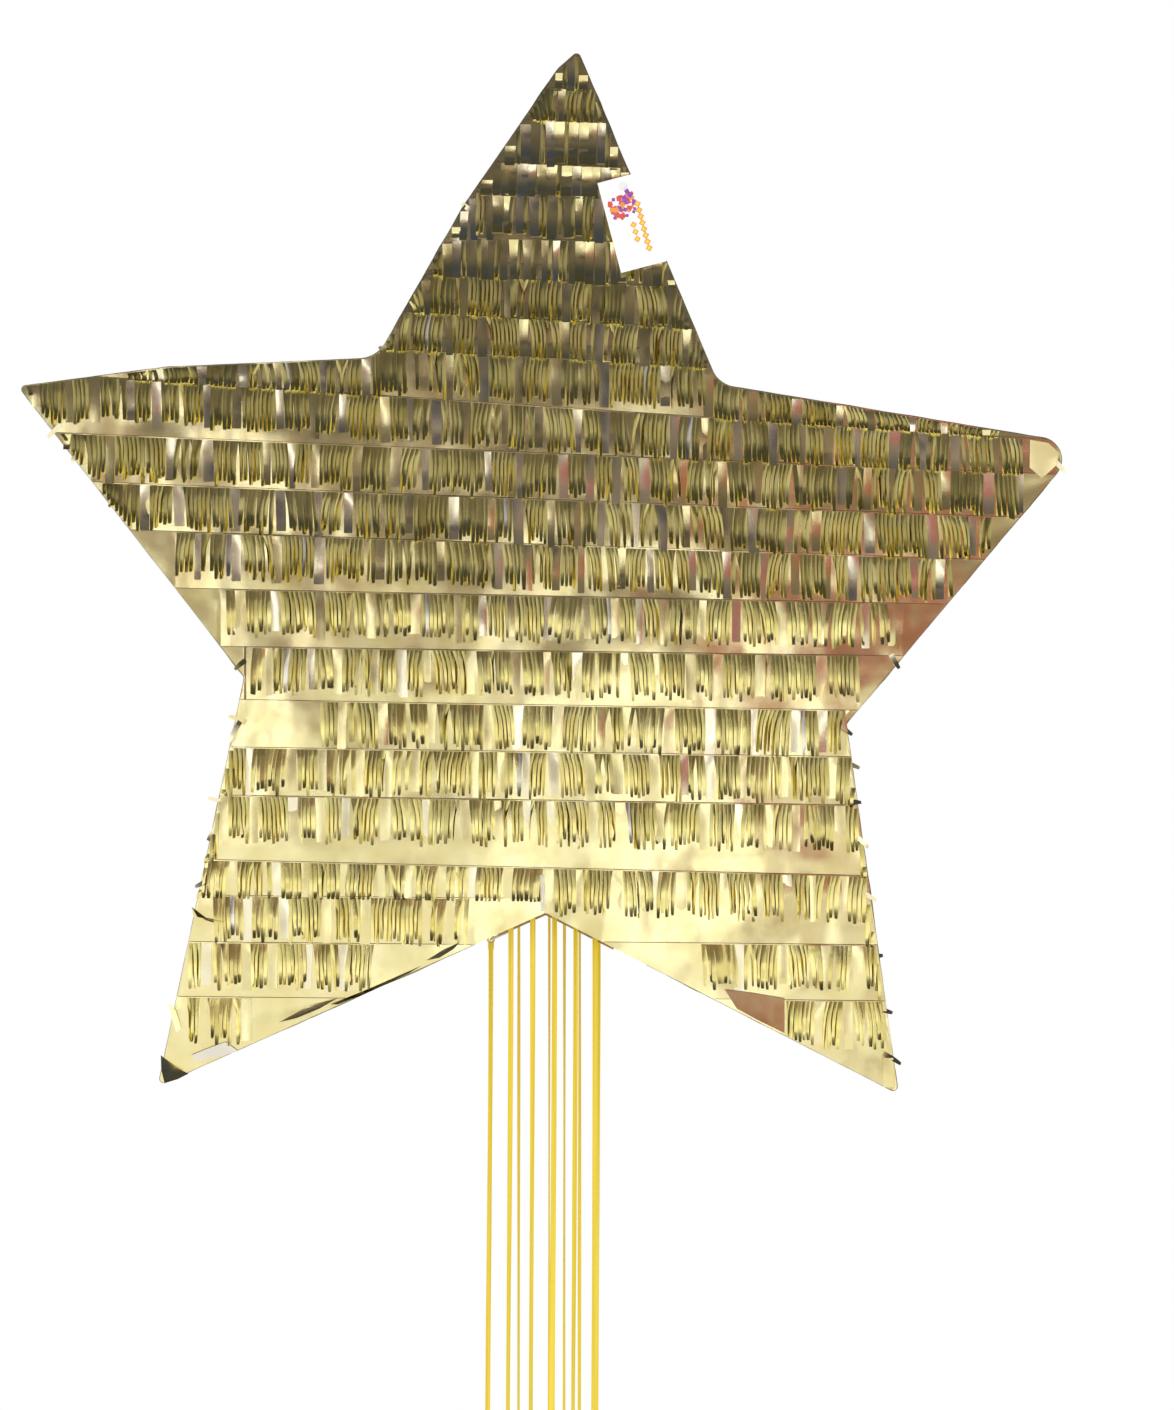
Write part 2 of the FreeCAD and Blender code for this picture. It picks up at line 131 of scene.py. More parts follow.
# --- the ribbons -----------------------------------------------------------------------------
RIBBON_WIDTH = 3.0 * MM
RIBBON_THICK = 0.12 * MM
RIBBON_WAVER = 5  # degrees that a ribbon turns to and fro on its way down
RIBBON_WAVES = 9


# =============================================================================================
# Materials
# =============================================================================================
def new_material(name):
    """A new node material, with its node tree and its shader."""
    material = bpy.data.materials.new(name)
    material.use_nodes = True
    tree = material.node_tree
    shader = tree.nodes["Principled BSDF"]
    return material, tree, shader


def noise_node(tree, scale, detail, stretch=(1, 1, 1)):
    """Noise over the object's own coordinates, stretched along its axes."""
    place = tree.nodes.new("ShaderNodeTexCoord")
    mapping = tree.nodes.new("ShaderNodeMapping")
    mapping.inputs["Scale"].default_value = stretch
    texture = tree.nodes.new("ShaderNodeTexNoise")
    texture.inputs["Scale"].default_value = scale
    texture.inputs["Detail"].default_value = detail
    tree.links.new(place.outputs["Object"], mapping.inputs["Vector"])
    tree.links.new(mapping.outputs["Vector"], texture.inputs["Vector"])
    return texture


def ramp_node(tree, source, stops):
    """A colour ramp; stops are (position, (r, g, b))."""
    ramp = tree.nodes.new("ShaderNodeValToRGB")
    elements = ramp.color_ramp.elements
    while len(elements) < len(stops):
        elements.new(0.5)
    for element, (position, colour) in zip(elements, stops):
        element.position = position
        element.color = (*colour, 1.0)
    tree.links.new(source, ramp.inputs["Fac"])
    return ramp


def bump_node(tree, shader, texture, strength, distance, before=None):
    """Bumps from a texture, on top of the bumps of before."""
    bump = tree.nodes.new("ShaderNodeBump")
    bump.inputs["Strength"].default_value = strength
    bump.inputs["Distance"].default_value = distance
    tree.links.new(texture.outputs["Fac"], bump.inputs["Height"])
    if before is not None:
        tree.links.new(before.outputs["Normal"], bump.inputs["Normal"])
    tree.links.new(bump.outputs["Normal"], shader.inputs["Normal"])
    return bump


def foil_material(name, light, dark, roughness, crease):
    """Metallised film: coloured metal with a faint mottle, fine creases and soft dents."""
    material, tree, shader = new_material(name)
    mottle = noise_node(tree, 60, 4)
    ramp = ramp_node(tree, mottle.outputs["Fac"], [(0.35, dark), (0.65, light)])
    tree.links.new(ramp.outputs["Color"], shader.inputs["Base Color"])
    shader.inputs["Metallic"].default_value = 1.0
    rough = noise_node(tree, 180, 3)
    spread = tree.nodes.new("ShaderNodeMapRange")
    spread.inputs["To Min"].default_value = roughness * 0.7
    spread.inputs["To Max"].default_value = roughness * 1.4
    tree.links.new(rough.outputs["Fac"], spread.inputs["Value"])
    tree.links.new(spread.outputs["Result"], shader.inputs["Roughness"])
    dents = bump_node(tree, shader, noise_node(tree, 45, 2), crease, 0.25 * MM)
    bump_node(tree, shader, noise_node(tree, 260, 3, (1, 1, 0.4)), crease * 0.6, 0.03 * MM, dents)
    return material


def card_material():
    """Kraft corrugated board: pale flecks and faint flutes."""
    material, tree, shader = new_material("kraft_card")
    fleck = noise_node(tree, 400, 6, (1, 1, 0.3))
    stops = [(0.3, (0.30, 0.19, 0.10)), (0.7, (0.47, 0.32, 0.18))]
    ramp = ramp_node(tree, fleck.outputs["Fac"], stops)
    tree.links.new(ramp.outputs["Color"], shader.inputs["Base Color"])
    shader.inputs["Roughness"].default_value = 0.85
    bump_node(tree, shader, noise_node(tree, 150, 4, (1, 1, 0.05)), 0.3, 0.5 * MM)
    return material


def ribbon_material():
    """Yellow poly ribbon with a fine lengthways rib."""
    material, tree, shader = new_material("yellow_ribbon")
    rib = noise_node(tree, 900, 2, (1, 1, 0.01))
    stops = [(0.3, (0.74, 0.54, 0.02)), (0.7, (0.88, 0.68, 0.04))]
    ramp = ramp_node(tree, rib.outputs["Fac"], stops)
    tree.links.new(ramp.outputs["Color"], shader.inputs["Base Color"])
    shader.inputs["Roughness"].default_value = 0.38
    bump_node(tree, shader, rib, 0.2, 0.1 * MM)
    return material


def steel_material():
    """Drawn wire and rivet steel, with a fine grain."""
    material, tree, shader = new_material("steel")
    grain = noise_node(tree, 700, 4, (0.1, 1, 1))
    stops = [(0.3, (0.42, 0.42, 0.43)), (0.7, (0.66, 0.66, 0.67))]
    ramp = ramp_node(tree, grain.outputs["Fac"], stops)
    tree.links.new(ramp.outputs["Color"], shader.inputs["Base Color"])
    shader.inputs["Metallic"].default_value = 1.0
    shader.inputs["Roughness"].default_value = 0.32
    bump_node(tree, shader, grain, 0.1, 0.05 * MM)
    return material


def plain_material(name, low, high, roughness, scale=250):
    """A matte or satin surface with a faint grain."""
    material, tree, shader = new_material(name)
    grain = noise_node(tree, scale, 5)
    ramp = ramp_node(tree, grain.outputs["Fac"], [(0.3, low), (0.7, high)])
    tree.links.new(ramp.outputs["Color"], shader.inputs["Base Color"])
    shader.inputs["Roughness"].default_value = roughness
    bump_node(tree, shader, grain, 0.08, 0.1 * MM)
    return material


def glow_nodes(name):
    """A new glowing material, with its node tree and its Emission node."""
    material = bpy.data.materials.new(name)
    material.use_nodes = True
    tree = material.node_tree
    tree.nodes.remove(tree.nodes["Principled BSDF"])
    glow = tree.nodes.new("ShaderNodeEmission")
    tree.links.new(glow.outputs["Emission"], tree.nodes["Material Output"].inputs["Surface"])
    return material, tree, glow


def even_glow(name, colour):
    """A stage card that glows the same all over."""
    material, _, glow = glow_nodes(name)
    glow.inputs["Color"].default_value = (*colour, 1.0)
    return material


def banded_glow(name, stops, low, high):
    """A stage card that glows in bands by height, from low to high."""
    material, tree, glow = glow_nodes(name)
    place = tree.nodes.new("ShaderNodeTexCoord")
    split = tree.nodes.new("ShaderNodeSeparateXYZ")
    height = tree.nodes.new("ShaderNodeMapRange")
    height.inputs["From Min"].default_value = low
    height.inputs["From Max"].default_value = high
    tree.links.new(place.outputs["Object"], split.inputs["Vector"])
    tree.links.new(split.outputs["Z"], height.inputs["Value"])
    ramp = ramp_node(tree, height.outputs["Result"], stops)
    tree.links.new(ramp.outputs["Color"], glow.inputs["Color"])
    return material


GOLD = foil_material("gold_foil", (0.95, 0.89, 0.58), (0.87, 0.79, 0.45), 0.13, 0.5)
# the same gold foil made darker and more olive for the narrow fingers: painted shade
SHADED_GOLD_FOIL = foil_material("gold_foil_painted_shade", (0.90, 0.83, 0.42), (0.76, 0.68, 0.28), 0.18, 0.3)
# the same gold foil made paler, near white: a painted highlight on some wide fingers, flaps and stray
# bits
PAINTED_HIGHLIGHT_FOIL = foil_material("gold_foil_painted_highlight", (0.98, 0.96, 0.84), (0.94, 0.90, 0.70), 0.12, 0.2)
SILVER = foil_material("silver_foil", (0.92, 0.92, 0.93), (0.80, 0.80, 0.82), 0.22, 0.3)
CARD = card_material()
RIBBON = ribbon_material()
STEEL = steel_material()
TAPE = plain_material("tape", (0.62, 0.52, 0.34), (0.72, 0.62, 0.43), 0.3)
NYLON = plain_material("clear_nylon", (0.75, 0.75, 0.75), (0.85, 0.85, 0.85), 0.35)
TAG_CARD = plain_material("tag_card", (0.88, 0.88, 0.87), (0.94, 0.94, 0.94), 0.4)
INKS = [
    plain_material("ink_purple", (0.26, 0.05, 0.40), (0.34, 0.08, 0.50), 0.45),
    plain_material("ink_red", (0.62, 0.07, 0.06), (0.74, 0.10, 0.08), 0.45),
    plain_material("ink_orange", (0.78, 0.28, 0.03), (0.86, 0.36, 0.05), 0.45),
    plain_material("ink_yellow", (0.85, 0.60, 0.04), (0.92, 0.68, 0.07), 0.45),
]

FINISH = {"kraft_card": CARD, "gold_foil": GOLD, "yellow_ribbon": RIBBON, "steel": STEEL,
          "tape": TAPE, "tag_card": TAG_CARD, "clear_nylon": NYLON}
for part in frame["record"]["subparts"]:
    mesh = NODES[part["node"]].data
    mesh.materials.clear()
    mesh.materials.append(FINISH[part["material_slot"]])


def foil_on_trap_door():
    """The trap door is bare card inside and foil outside."""
    mesh = NODES["trap_door"].data
    mesh.materials.clear()
    for material in (CARD, GOLD):
        mesh.materials.append(material)
    for face in mesh.polygons:
        face.material_index = 1 if face.normal.z < -0.5 else 0


foil_on_trap_door()


# =============================================================================================
# Reading the star's shape from the CAD nodes
# =============================================================================================
def rim(node, side):
    """The edges round the flat face of a plate that looks along side (-1 front, +1 back), in x, z."""
    mesh = NODES[node].data
    count = {}
    for face in mesh.polygons:
        if face.normal.y * side < FLAT_ON:
            continue
        corners = [mesh.vertices[i].co for i in face.vertices]
        points = [(round(c.x, 6), round(c.z, 6)) for c in corners]
        for a, b in zip(points, points[1:] + points[:1]):
            key = (min(a, b), max(a, b))
            count[key] = count.get(key, 0) + 1
    return [edge for edge, times in count.items() if times == 1]


def section(edges, x):
    """The stretches of z where the vertical line at x is inside a rim."""
    heights = []
    for (x0, z0), (x1, z1) in edges:
        if (x0 <= x) != (x1 <= x):
            heights.append(z0 + (z1 - z0) * (x - x0) / (x1 - x0))
    heights.sort()
    return list(zip(heights[::2], heights[1::2]))


def clip(stretches, low, high):
    """The parts of some stretches between two heights."""
    cut = [(max(a, low), min(b, high)) for a, b in stretches]
    return [(a, b) for a, b in cut if b - a > SHORTEST_STRETCH]


# =============================================================================================
# Foil strips with cut fingers
# =============================================================================================
def crumple(x, z, size, scale, seed=0.0):
    """A smooth random height for the foil at a place."""
    return size * noise.noise(Vector((x * scale, seed, z * scale)))


class Sheet:
    """Vertices and faces of one thin piece, with the material of each face."""

    def __init__(self):
        self.points = []
        self.faces = []
        self.slots = []
        self.known = {}

    def point(self, x, y, z):
        key = (round(x * 1e4), round(z * 1e4))
        if key not in self.known:
            self.known[key] = len(self.points)
            self.points.append((x, y, z))
        return self.known[key]

    def face(self, corners, slot=0):
        corners = list(dict.fromkeys(corners))
        if len(corners) > 2:
            self.faces.append(corners)
            self.slots.append(slot)

    def make(self, name, materials):
        mesh = bpy.data.meshes.new(name)
        mesh.from_pydata(self.points, [], self.faces)
        for material in materials:
            mesh.materials.append(material)
        mesh.polygons.foreach_set("material_index", self.slots)
        mesh.polygons.foreach_set("use_smooth", [True] * len(self.faces))
        piece = bpy.data.objects.new(name, mesh)
        bpy.context.scene.collection.objects.link(piece)
        return piece


def strip_depth(rise, x, z, side, face_y):
    """Depth of the plain foil a rise above its foot: tucked in at the foot, proud higher up,
    and crumpled."""
    proud = FOOT_PROUD + min(TOP_PROUD, rise / STRIP_SLOPE)
    dents = crumple(x, z, 0.45 * MM, 26) + crumple(x, z, 0.10 * MM, 95, 5.0)
    folds = 0.35 * MM * abs(noise.noise(Vector((x * 14, 9.0, z * 55))))
    return face_y + side * max(LEAST_PROUD, proud + dents + folds)


def plain_foil(sheet, columns, stretch_at, side, face_y, bare):
    """The uncut foil of a strip, as a grid between neighbouring columns. Between the two places
    in bare, the card shows from under the strip's top edge down to where it's uncut again."""
    for x0, x1 in zip(columns, columns[1:]):
        left = stretch_at(x0 + TINY)
        right = stretch_at(x1 - TINY)
        if len(left) != len(right):
            continue
        cut = bare[0] < x0 and x1 < bare[1]
        for (low0, high0), (low1, high1) in zip(left, right):
            tall = min(high0 - low0, high1 - low1) > FULL_STRIP
            for step in range(STRIP_STEPS):
                if cut and tall and OPEN_FROM <= step < OPEN_TO:
                    continue
                corners = []
                for x, low, high, k in ((x0, low0, high0, step), (x1, low1, high1, step),
                                        (x1, low1, high1, step + 1), (x0, low0, high0, step + 1)):
                    z = high + (low - high) * k / STRIP_STEPS
                    corners.append(sheet.point(x, strip_depth(z - low, x, z, side, face_y), z))
                sheet.face(corners if side > 0 else corners[::-1])


def new_habit(rng):
    """The lean, in millimetres, and the turn, in radians, that a run of fingers shares."""
    return rng.uniform(*RUN_LEANS), rng.choice((-1, 1)) * rng.uniform(*RUN_TURNS)


def finger(sheet, rng, x, top, length, width, side, face_y, wide, habit, style, slot):
    """One cut finger: flat at its root, standing off a little, turned, and curled at its tip.
    habit is what new_habit gave for its run."""
    lean, shared_turn = habit
    if wide:
        stand = rng.uniform(*style.stands) * MM
        bow = rng.uniform(*style.bows) * MM
        turn = rng.uniform(*WIDE_TURNS)
        hook = rng.uniform(*style.flicks) * MM
        dip = 0.0
        cup = WIDE_CUP
        sway = rng.uniform(*WIDE_SWAYS) * MM
    else:
        stand = rng.uniform(*NARROW_STANDS) * MM
        bow = rng.uniform(*NARROW_BOWS) * MM
        turn = shared_turn * rng.uniform(0.7, 1.3)
        hook = rng.uniform(*style.hooks) * MM
        dip = rng.uniform(*style.dips) * MM
        cup = rng.uniform(*NARROW_CUPS)
        sway = lean * rng.uniform(0.6, 1.4) * MM
        if rng.random() < UNRULY_SHARE:
            turn = rng.uniform(*UNRULY_TURNS)
            sway = rng.uniform(*UNRULY_SWAYS) * MM
    bend_from = rng.uniform(*BENDS) + (LATER_BEND if dip else 0.0)
    base = len(sheet.points)
    for step in range(FINGER_STEPS + 1):
        t = step / FINGER_STEPS
        twist = turn * math.sin(math.pi / 2 * min(1.0, t / TURNED_BY))
        curl = max(0.0, t - bend_from) / (1 - bend_from)
        out = FINGER_ROOT + stand * t + bow * math.sin(math.pi * t) + hook * curl ** 1.25
        out -= dip * min(1.0, max(0.0, t - DIP_FROM) / DIP_OVER)
        # a wide finger narrows a little on its way down, and a narrow one more, near its tip
        half = width / 2 * (1.0 - 0.04 * t if wide else 1.12 - 0.42 * t ** 5)
        middle_x = x + sway * (t * t + 0.5 * math.sin(math.pi * t))
        z = top - length * t + 0.25 * abs(hook) * curl ** 2
        for across in (-1, 0, 1):
            depth = out + (cup * half if across == 0 else 0) + across * half * math.sin(twist)
            sheet.points.append((middle_x + across * half * math.cos(twist), face_y + side * depth, z))
    for step in range(FINGER_STEPS):
        for across in (0, 1):
            a = base + step * 3 + across
            corners = [a, a + 1, a + 4, a + 3]
            sheet.face(corners if side > 0 else corners[::-1], slot)


def cut_fingers(sheet, rng, x_low, x_high, stretch_at, star, side, face_y, style):
    """Fingers along a strip: a run of narrow ones, then a wide one, and so on."""
    x = x_low + FIRST_GAP
    until_wide = rng.randint(*FIRST_RUN)
    habit = new_habit(rng)
    while x < x_high - LAST_GAP:
        wide = until_wide <= 0 or rng.random() < style.wide_share
        width = WIDE * rng.uniform(*WIDE_SPREAD) if wide else NARROW * rng.uniform(*NARROW_SPREAD)
        if until_wide <= 0:
            habit = new_habit(rng)
            until_wide = rng.randint(*LATER_RUNS)
            if rng.random() < LONG_RUN_SHARE:
                until_wide += LONG_RUN_MORE
        until_wide -= 1
        middle = x + width / 2
        sides = [stretch_at(x), stretch_at(x + width)]
        x += width + SLIT
        stretches = stretch_at(middle)
        if any(len(side_stretch) != len(stretches) for side_stretch in sides):
            continue
        for k, (low, high) in enumerate(stretches):
            foot = next((a for a, b in section(star, middle) if a - TOUCHING <= low <= b), low)
            high = min(high, sides[0][k][1], sides[1][k][1])
            room = min(high - foot - FOOT_CLEAR, high - low + OVERHANG)
            reach = min(FINGER_LENGTH * rng.uniform(*LENGTH_SPREAD), room)
            if reach < SHORTEST_FINGER or rng.random() < TORN_SHARE:
                continue
            # narrow fingers get the darker olive copy of the foil: painted shade
            slot = ON_SHADED_GOLD
            if wide:
                # a share of the wide fingers get the paler foil: a painted highlight
                slot = ON_PAINTED_HIGHLIGHT if rng.random() < style.pale_share else ON_GOLD
            elif rng.random() < SILVER_SHARE:
                slot = ON_SILVER
            top = high - ROOT_DROP
            finger(sheet, rng, middle, top, reach, width, side, face_y, wide, habit, style, slot)


STRIP_FOILS = [GOLD, SHADED_GOLD_FOIL, SILVER, PAINTED_HIGHLIGHT_FOIL]
ON_GOLD, ON_SHADED_GOLD, ON_SILVER, ON_PAINTED_HIGHLIGHT = range(4)

# how a strip's fingers are: the share of wide ones, the share among them that get the paler foil, a
# painted highlight, in millimetres how far the narrow ones curl out at their tips and dip in above
# them, and how far the wide ones curl out, lean out and bow out, and whether the card behind them is
# bare
Style = namedtuple("Style", "wide_share pale_share hooks dips flicks stands bows bare")
PLAIN_STYLE = Style(0.0, 0.1, (2.0, 4.8), (0.0, 0.0), (0.0, 0.5), (-0.9, 0.4), (-0.6, 0.5), False)


def strip(name, nodes_rim, star, stretch_at, side, face_y, seed, fingers=None, style=PLAIN_STYLE):
    """A whole strip of fringe: its plain foil, and its fingers between two places across."""
    rng = random.Random(seed)
    xs = sorted({x for edge in nodes_rim for x, _ in edge})
    grid = [xs[0] + COLUMN * k for k in range(int((xs[-1] - xs[0]) / COLUMN) + 1)]
    columns = []
    for x in sorted(xs + grid):
        if not columns or x - columns[-1] > CLOSEST_COLUMNS:
            columns.append(x)
    columns[-1] = xs[-1]
    sheet = Sheet()
    first, last = fingers or (xs[0], xs[-1])
    bare = (first, last) if style.bare else (last, last)
    plain_foil(sheet, columns, stretch_at, side, face_y, bare)
    cut_fingers(sheet, rng, first, last, stretch_at, star, side, face_y, style)
    if not sheet.faces:
        return None
    return sheet.make(name, STRIP_FOILS)


# rows whose fingers stop short of the row's ends: millimetres across, from and to
PART_CUT = {10: (-300.0, 219.0), 11: (-300.0, 217.0), 12: (-300.0, 203.5), 13: (-197.6, 184.0),
            14: (-173.6, 155.5), 15: (-160.4, 137.7), 16: (-127.0, 131.0), 20: (-180.0, -54.0),
            21: (-192.0, -101.0), 22: (-193.0, -164.0), 23: (60.0, 149.0), 24: (102.0, 151.0)}
# rows near the tip whose strips were cut mostly into wide fingers
WIDE_SHARE = {1: 0.9, 3: 0.75, 4: 0.8, 5: 0.25, 6: 0.45}
WIDE_CUT = {"bows": (-1.4, -0.3), "stands": (-0.4, 0.6), "pale_share": 0.3}
# from here down more of the wide fingers get the paler foil: a painted highlight
FIRST_HIGHLIGHT_ROW = 9  # from here down the wide fingers catch the light
LIT = {"pale_share": 0.6, "stands": (-1.1, 0.0), "bows": (-0.4, 0.3)}
FIRST_TUCKED_ROW = 14  # from here down the fingers dip in above their tips
TUCKED = {"hooks": (-0.2, 2.4), "dips": (0.3, 1.5), "flicks": (-0.3, 0.05),
          "stands": (-1.3, -0.3), "bows": (-0.15, 0.15), "pale_share": 0.35}


def front_fringe():
    """The front's rows, from the tip down."""
    star = rim("front_panel", -1)
    for number, node in enumerate(FRONT_ROWS, 1):
        edges = rim(node, -1)
        fingers = tuple(x * MM for x in PART_CUT[number]) if number in PART_CUT else None
        style = PLAIN_STYLE._replace(wide_share=WIDE_SHARE.get(number, 0.0))
        if number in WIDE_SHARE:
            style = style._replace(**WIDE_CUT)
        if number < FIRST_HIGHLIGHT_ROW:
            style = style._replace(bare=True)
        else:
            style = style._replace(**LIT)
        if number >= FIRST_TUCKED_ROW:
            style = style._replace(**TUCKED)
        piece = strip(f"foil_row_{number:02d}", edges, star, lambda x: section(edges, x), -1, FRONT,
                      number, fingers, style)
        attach(piece, "star")
        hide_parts(node)


def back_fringe():
    """Strips down the back, one over the other, clear of the strap and the fill door."""
    star = rim("back_panel", 1)
    for node in ("back_fringe_upper", "back_fringe_lower"):
        edges = rim(node, 1)
        low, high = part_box(node)
        count = math.ceil((high.z - low.z) / BACK_PITCH)
        pitch = (high.z - low.z) / count
        for k in range(count):
            top = high.z - k * pitch
            foot = top - pitch
            piece = strip(f"{node}_{k + 1:02d}", edges, star,
                          lambda x: clip(section(edges, x), foot, top), 1, BACK, 100 + k)
            if piece is None:
                continue
            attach(piece, "star")
            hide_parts(node)


def door_fringe():
    """A few strips of fringe on the fill door."""
    edges = rim("fill_cover", 1)
    low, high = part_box("fill_cover")
    pitch = (high.z - low.z) / DOOR_STRIPS
    for k in range(DOOR_STRIPS):
        top = high.z - k * pitch
        foot = top - pitch
        piece = strip(f"fill_door_fringe_{k + 1}", edges, edges,
                      lambda x: clip(section(edges, x), foot, top), 1, low.y, 200 + k)
        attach(piece, "fill_flap")
        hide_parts("fill_cover")


def fold(sheet, outline, slot):
    """A small turned-over flap: a fan from the outline's middle."""
    start = len(sheet.points)
    middle = [sum(point[k] for point in outline) / len(outline) for k in range(3)]
    for x, z, proud in [middle, *outline]:
        sheet.points.append((x * MM, FRONT - proud * MM, z * MM))
    count = len(outline)
    for k in range(count):
        sheet.face([start, start + 1 + k, start + 1 + (k + 1) % count], slot)


# the pale foil here is the gold foil made paler: a painted highlight
FOLD_FOILS = [GOLD, SILVER, PAINTED_HIGHLIGHT_FOIL]
IN_GOLD, IN_SILVER, IN_PAINTED_HIGHLIGHT = range(3)
# turned-over flaps: the foil, and the outline as x, z and how proud of the card, in millimetres
FOLDS = [
    # at the lower left corner
    (IN_GOLD, [(-205.2, -477.0, 1.0), (-198.0, -482.5, 3.5), (-191.4, -486.0, 3.0),
               (-196.5, -488.5, 5.0), (-203.0, -490.5, 5.5), (-204.8, -484.0, 3.5)]),
    (IN_SILVER, [(-190.0, -476.9, 3.0), (-181.5, -473.4, 3.2), (-173.3, -470.4, 3.0),
                 (-166.9, -475.0, 2.2), (-177.0, -477.8, 2.0), (-187.5, -480.1, 2.2)]),
    # along the left leg's lower edge and up to the notch
    (IN_GOLD, [(-121.8, -452.0, 0.8), (-101.2, -443.6, 1.4), (-76.8, -432.9, 1.0),
               (-83.0, -436.6, 3.0), (-101.2, -445.2, 3.6), (-118.0, -452.0, 2.4)]),
    # a flap near the notch in the paler foil: a painted highlight
    (IN_PAINTED_HIGHLIGHT, [(-18.7, -388.4, 2.6), (-16.3, -388.4, 2.6), (-16.0, -406.0, 2.9),
               (-18.2, -406.4, 2.9)]),
    (IN_GOLD, [(-74.5, -430.4, 1.6), (-66.0, -425.0, 1.9), (-58.0, -421.4, 1.6),
               (-61.0, -424.6, 2.3), (-68.0, -429.0, 2.6)]),
    (IN_GOLD, [(-147.0, -460.8, 1.7), (-132.0, -452.6, 1.9), (-118.0, -448.8, 1.8),
               (-127.0, -454.0, 2.3), (-138.0, -458.6, 2.3)]),
    # on the left leg
    (IN_GOLD, [(-201.6, -450.5, 1.6), (-197.5, -455.0, 3.6), (-195.0, -463.5, 4.2),
               (-197.5, -465.5, 1.8), (-200.0, -458.0, 1.4)]),
    (IN_GOLD, [(-190.0, -404.0, 1.8), (-187.0, -409.0, 3.4), (-173.5, -411.5, 3.8),
               (-174.0, -413.0, 1.8), (-188.5, -412.0, 1.6)]),
    # at the right tip
    (IN_GOLD, [(222.0, -174.5, 3.4), (231.0, -176.0, 3.6), (236.5, -181.0, 3.2),
               (235.0, -187.0, 2.2), (228.0, -193.5, 1.6), (222.0, -188.0, 1.8)]),
    # on the right foot
    (IN_GOLD, [(72.0, -444.5, 2.0), (86.0, -446.5, 2.05), (101.5, -449.0, 2.1),
               (101.5, -466.0, 2.8), (90.0, -460.5, 2.75), (78.0, -454.0, 2.45)]),
]


def loose_folds():
    """Flaps of foil at the corners and along the lower edges."""
    sheet = Sheet()
    for slot, outline in FOLDS:
        fold(sheet, outline, slot)
    piece = sheet.make("loose_folds", FOLD_FOILS)
    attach(piece, "star")


# curled bits of finger that stick out past the outline: x, z, heading in degrees and reach
STRAY_BITS = [
    (-168.0, -311.0, 150, 8.0), (-164.5, -318.0, 235, 8.0), (-176.5, -352.0, 165, 9.0),
    (-178.0, -368.0, 240, 8.0), (-187.0, -392.0, 200, 7.0), (-257.0, -169.0, 215, 7.0),
    (-247.0, -182.0, 250, 7.0), (-229.0, -206.0, 215, 5.0), (-168.0, -286.0, 215, 5.0),
    (-61.0, -56.0, 140, 6.0), (-95.0, -131.0, 120, 6.0), (156.0, -284.0, -60, 6.5),
    (133.0, -317.0, -35, 7.0), (134.0, -334.0, -20, 8.0), (137.0, -352.0, 10, 6.0),
    (140.0, -371.0, -30, 7.0), (145.0, -398.0, -15, 7.0), (149.0, -428.0, 5, 6.0),
    (153.0, -455.0, -20, 7.0), (156.0, -478.0, -25, 8.0), (240.0, -188.0, -40, 7.0),
]
STRAY_STEPS = 6
STRAY_MORE = 1.5  # a bit's length is its reach and this, in mm
STRAY_INSIDE = 5.0  # how far inside the outline its root is
STRAY_PROUD = 1.6
STRAY_HALF = 1.25  # half its width


def nearest_on(edges, x, z):
    """The point of a rim nearest to a place."""
    best = None
    for (x0, z0), (x1, z1) in edges:
        along = Vector((x1 - x0, z1 - z0))
        share = (Vector((x - x0, z - z0)).dot(along)) / max(along.length_squared, 1e-12)
        place = Vector((x0, z0)) + along * min(1.0, max(0.0, share))
        gap = (place - Vector((x, z))).length
        if best is None or gap < best[0]:
            best = (gap, place)
    return best[1]


def stray_bits():
    """Narrow fingers that hang out past the star's edge, each curled to the front or the back."""
    rng = random.Random(31)
    edges = rim("front_panel", -1)
    sheet = Sheet()
    for x, z, heading, reach in STRAY_BITS:
        length = reach + STRAY_MORE
        angle = math.radians(heading)
        along = Vector((math.cos(angle), 0, math.sin(angle)))
        across = Vector((-along.z, 0, along.x)) * STRAY_HALF * MM
        rooted = nearest_on(edges, x * MM, z * MM)
        root = Vector((rooted.x, FRONT - STRAY_PROUD * MM, rooted.y)) - along * STRAY_INSIDE * MM
        tuck = rng.choice((0.6, -0.9, -0.9)) * MM * (-1 if across.z > 0 else 1)
        curl = rng.uniform(-1.5, 2.0) * MM
        droop = rng.uniform(-0.5, 2.0) * MM
        # two bits in three get the paler foil: a painted highlight
        slot = rng.choice((0, 1, 1))
        base = len(sheet.points)
        for step in range(STRAY_STEPS + 1):
            t = step / STRAY_STEPS
            place = root + along * length * MM * t + Vector((0, -curl * t * t, -droop * t * t))
            width = across * (1 - 0.4 * t ** 3)
            twist = Vector((0, tuck * math.sin(3 * t), 0))
            sheet.points.append(tuple(place - width))
            sheet.points.append(tuple(place + width + twist))
        for step in range(STRAY_STEPS):
            a = base + 2 * step
            sheet.face([a, a + 1, a + 3, a + 2], slot)
    piece = sheet.make("stray_bits", [GOLD, PAINTED_HIGHLIGHT_FOIL])
    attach(piece, "star")


def loops(edges):
    """The closed lines that a rim is made of, longest first."""
    after = {}
    for a, b in edges:
        after.setdefault(a, []).append(b)
        after.setdefault(b, []).append(a)
    found = []
    left = set(after)
    while left:
        line = [left.pop()]
        while True:
            onward = [p for p in after[line[-1]] if p in left]
            if not onward:
                break
            line.append(onward[0])
            left.discard(onward[0])
        found.append([Vector(p) for p in line])
    return sorted(found, key=len, reverse=True)


